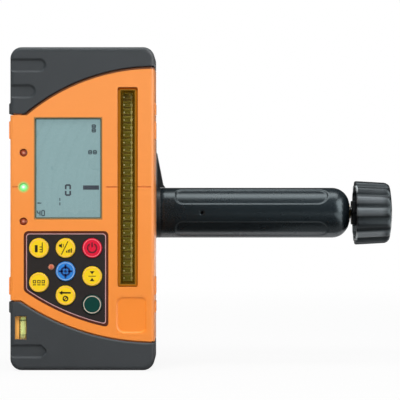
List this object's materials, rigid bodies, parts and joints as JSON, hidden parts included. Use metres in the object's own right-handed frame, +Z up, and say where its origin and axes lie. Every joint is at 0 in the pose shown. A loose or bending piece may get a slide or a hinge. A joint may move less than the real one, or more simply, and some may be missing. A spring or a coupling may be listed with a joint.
{
  "type": "laser receiver",
  "caption": "Hand-held laser receiver with display, amber sensor strip, keypad and level vial, bolted to a staff clamp whose side handle carries a turning knob.",
  "frame": {"origin": "centre of the housing's foot face, on the plane the receiver stands on", "axes": "+X towards the clamp handle and knob, +Y from the display face to the back, +Z up along the housing"},
  "size_m": [0.2047, 0.074, 0.168],
  "materials": {
    "orange_housing": "satin moulded plastic",
    "grey_bumper": "matte moulded rubber",
    "black_overlay": "satin printed film",
    "yellow_key": "satin",
    "red_key": "satin",
    "blue_key": "satin",
    "green_key": "satin with a pale rim",
    "display_glass": "clear window",
    "lcd_glass": "grey-green liquid crystal panel",
    "white_diffuser": "matte",
    "amber_window": "amber filter window",
    "photodiode_resin": "clear resin over dark chips",
    "black_plastic": "matte",
    "circuit_board": "solder mask",
    "red_lens": "clear red lens",
    "green_lens": "lit green lens",
    "vial_acrylic": "clear acrylic",
    "vial_liquid": "yellow-green liquid",
    "seal_rubber": "matte",
    "cell_jacket": "printed-free coloured sleeve",
    "contact_metal": "nickel plated",
    "screw_steel": "zinc plated",
    "rod_steel": "bright plated",
    "brass": "turned",
    "clamp_plastic": "satin glass-filled plastic",
    "handle_plastic": "semi-gloss moulded plastic",
    "knob_plastic": "satin fine-grained plastic",
    "pad_rubber": "matte ridged rubber"
  },
  "bodies": {
    "receiver": {"front_shell": "orange_housing", "rear_shell": "orange_housing", "top_bumper": "grey_bumper", "bottom_bumper": "grey_bumper", "housing_seal": "seal_rubber", "housing_screws": "screw_steel", "display_window": "display_glass", "lcd_panel": "lcd_glass", "backlight_plate": "white_diffuser", "sensor_window": "amber_window", "light_baffle": "black_plastic", "sensor_board": "circuit_board", "photodiodes": "photodiode_resin", "keypad_overlay": "black_overlay", "key_switches": "contact_metal", "key_lamp": "red_lens", "high_lamp": "red_lens", "grade_lamp": "green_lens", "low_lamp": "red_lens", "main_board": "circuit_board", "board_screws": "screw_steel", "buzzer": "black_plastic", "level_vial": "vial_acrylic", "vial_fluid": "vial_liquid", "vial_plug": "black_plastic", "battery_cells": "cell_jacket", "battery_contacts": "contact_metal", "door_hinge_pin": "screw_steel", "door_lock_insert": "brass", "mount_insert": "brass", "clamp_frame": "clamp_plastic", "mount_screw": "screw_steel", "mount_washer": "screw_steel", "fixed_jaw_pad": "pad_rubber", "handle_grip": "handle_plastic", "handle_pin": "screw_steel", "screw_nut": "brass"},
    "scale_key": {"scale_key": "yellow_key"},
    "sound_key": {"sound_key": "yellow_key"},
    "power_key": {"power_key": "red_key"},
    "auto_key": {"auto_key": "blue_key"},
    "function_key": {"function_key": "yellow_key"},
    "mark_key": {"mark_key": "yellow_key"},
    "clear_key": {"clear_key": "yellow_key"},
    "light_key": {"light_key": "green_key"},
    "sliding_jaw": {"sliding_jaw": "clamp_plastic", "sliding_jaw_pad": "pad_rubber"},
    "clamp_screw": {"clamp_screw": "rod_steel", "jaw_clip": "screw_steel", "clamp_knob": "knob_plastic", "knob_lock_nut": "screw_steel"},
    "battery_door": {"battery_door": "orange_housing", "door_seal": "seal_rubber"},
    "door_lock": {"door_lock": "screw_steel"}
  },
  "joints": [
    {"name": "scale_key_press", "type": "slide", "parent": "receiver", "child": "scale_key", "axis": [0, 1, 0], "range_m": [0, 0.0005], "stiffness_N_per_m": 2000},
    {"name": "sound_key_press", "type": "slide", "parent": "receiver", "child": "sound_key", "axis": [0, 1, 0], "range_m": [0, 0.0005], "stiffness_N_per_m": 2000},
    {"name": "power_key_press", "type": "slide", "parent": "receiver", "child": "power_key", "axis": [0, 1, 0], "range_m": [0, 0.0005], "stiffness_N_per_m": 2000},
    {"name": "auto_key_press", "type": "slide", "parent": "receiver", "child": "auto_key", "axis": [0, 1, 0], "range_m": [0, 0.0005], "stiffness_N_per_m": 2000},
    {"name": "function_key_press", "type": "slide", "parent": "receiver", "child": "function_key", "axis": [0, 1, 0], "range_m": [0, 0.0005], "stiffness_N_per_m": 2000},
    {"name": "mark_key_press", "type": "slide", "parent": "receiver", "child": "mark_key", "axis": [0, 1, 0], "range_m": [0, 0.0005], "stiffness_N_per_m": 2000},
    {"name": "clear_key_press", "type": "slide", "parent": "receiver", "child": "clear_key", "axis": [0, 1, 0], "range_m": [0, 0.0005], "stiffness_N_per_m": 2000},
    {"name": "light_key_press", "type": "slide", "parent": "receiver", "child": "light_key", "axis": [0, 1, 0], "range_m": [0, 0.0005], "stiffness_N_per_m": 2000},
    {"name": "jaw_slide", "type": "slide", "parent": "receiver", "child": "sliding_jaw", "axis": [1, 0, 0], "range_m": [0, 0.041]},
    {"name": "screw_turn", "type": "hinge", "parent": "sliding_jaw", "child": "clamp_screw", "pos_m": [0.1, 0.0377, 0.0815], "axis": [1, 0, 0], "range_deg": [0, 4920]},
    {"name": "door_hinge", "type": "hinge", "parent": "receiver", "child": "battery_door", "pos_m": [0, 0.0158, 0.0517], "axis": [1, 0, 0], "range_deg": [0, 90]},
    {"name": "door_lock_turn", "type": "hinge", "parent": "battery_door", "child": "door_lock", "pos_m": [0, 0.018, 0.0131], "axis": [0, 1, 0], "range_deg": [0, 90]}
  ],
  "couplings": [
    {"joint": "screw_turn", "follows": "jaw_slide", "rad_per_m": 2094.4}
  ]
}
